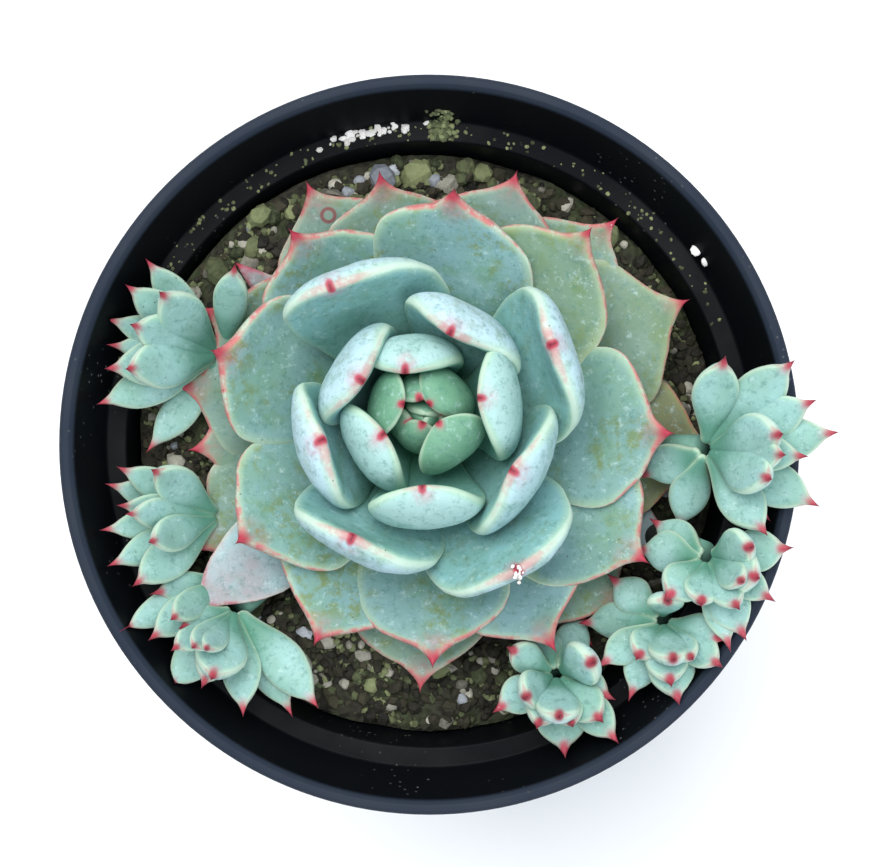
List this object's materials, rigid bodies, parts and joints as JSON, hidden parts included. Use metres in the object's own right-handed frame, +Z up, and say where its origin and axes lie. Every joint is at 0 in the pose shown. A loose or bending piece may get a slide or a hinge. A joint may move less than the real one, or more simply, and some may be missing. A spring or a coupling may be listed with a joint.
{
  "type": "potted succulent",
  "caption": "Farinose rosette succulent with a crown of small offsets, planted in gritty mix in a round tapered nursery pot with a stepped collar.",
  "frame": {"origin": "middle of the pot's flat underside, on the surface that it stands on", "axes": "+Z up along the pot's axis; +X to the side where an offset leans over the rim; +Y away from the side with the bare soil in front of the rosette"},
  "size_m": [0.1238, 0.12, 0.1064],
  "materials": {
    "pot_plastic": "black polypropylene, satin, slightly dusty",
    "potting_mix": "dark damp gritty mix with pale pumice and perlite bits",
    "grit": "dry rough pumice",
    "woody_stem": "short thick green-brown stem",
    "young_leaf": "waxy mint green with white bloom, red point",
    "mature_leaf": "waxy blue-green with white bloom, pale rounded margin, red point",
    "aged_leaf": "waxy grey-green, coral margin, red point",
    "withering_leaf": "mottled brown-pink, drying",
    "pup_leaf": "waxy mint green with white bloom, crimson point"
  },
  "bodies": {
    "root": {"pot": "pot_plastic", "soil": "potting_mix", "main_stem": "woody_stem", "heart_leaf_1": "young_leaf", "heart_leaf_2": "young_leaf", "heart_leaf_3": "young_leaf", "heart_leaf_4": "young_leaf", "heart_leaf_5": "young_leaf", "heart_leaf_6": "young_leaf", "heart_leaf_7": "young_leaf", "inner_leaf_1": "young_leaf", "inner_leaf_2": "young_leaf", "inner_leaf_3": "young_leaf", "inner_leaf_4": "young_leaf", "middle_leaf_1": "mature_leaf", "middle_leaf_2": "mature_leaf", "middle_leaf_3": "mature_leaf", "middle_leaf_4": "mature_leaf", "middle_leaf_5": "mature_leaf", "middle_leaf_6": "mature_leaf", "middle_leaf_7": "mature_leaf", "middle_leaf_8": "mature_leaf", "spreading_leaf_1": "mature_leaf", "spreading_leaf_2": "mature_leaf", "spreading_leaf_3": "mature_leaf", "spreading_leaf_4": "mature_leaf", "spreading_leaf_5": "mature_leaf", "spreading_leaf_6": "mature_leaf", "spreading_leaf_7": "mature_leaf", "spreading_leaf_8": "mature_leaf", "spreading_leaf_9": "mature_leaf", "spreading_leaf_10": "mature_leaf", "outer_leaf_1": "aged_leaf", "outer_leaf_2": "aged_leaf", "outer_leaf_3": "aged_leaf", "outer_leaf_4": "aged_leaf", "outer_leaf_5": "aged_leaf", "outer_leaf_6": "aged_leaf", "outer_leaf_7": "aged_leaf", "outer_leaf_8": "aged_leaf", "outer_leaf_9": "aged_leaf", "outer_leaf_10": "aged_leaf", "outer_leaf_11": "aged_leaf", "outer_leaf_12": "aged_leaf", "old_leaf_1": "withering_leaf", "old_leaf_2": "withering_leaf", "old_leaf_3": "withering_leaf", "old_leaf_4": "withering_leaf", "pup_west_upper": "pup_leaf", "pup_west": "pup_leaf", "pup_southwest_rim": "pup_leaf", "pup_southwest": "pup_leaf", "pup_east": "pup_leaf", "pup_southeast_rim": "pup_leaf", "pup_southeast": "pup_leaf", "pup_south": "pup_leaf", "grit_stone_1": "grit", "grit_stone_2": "grit"}
  },
  "joints": []
}
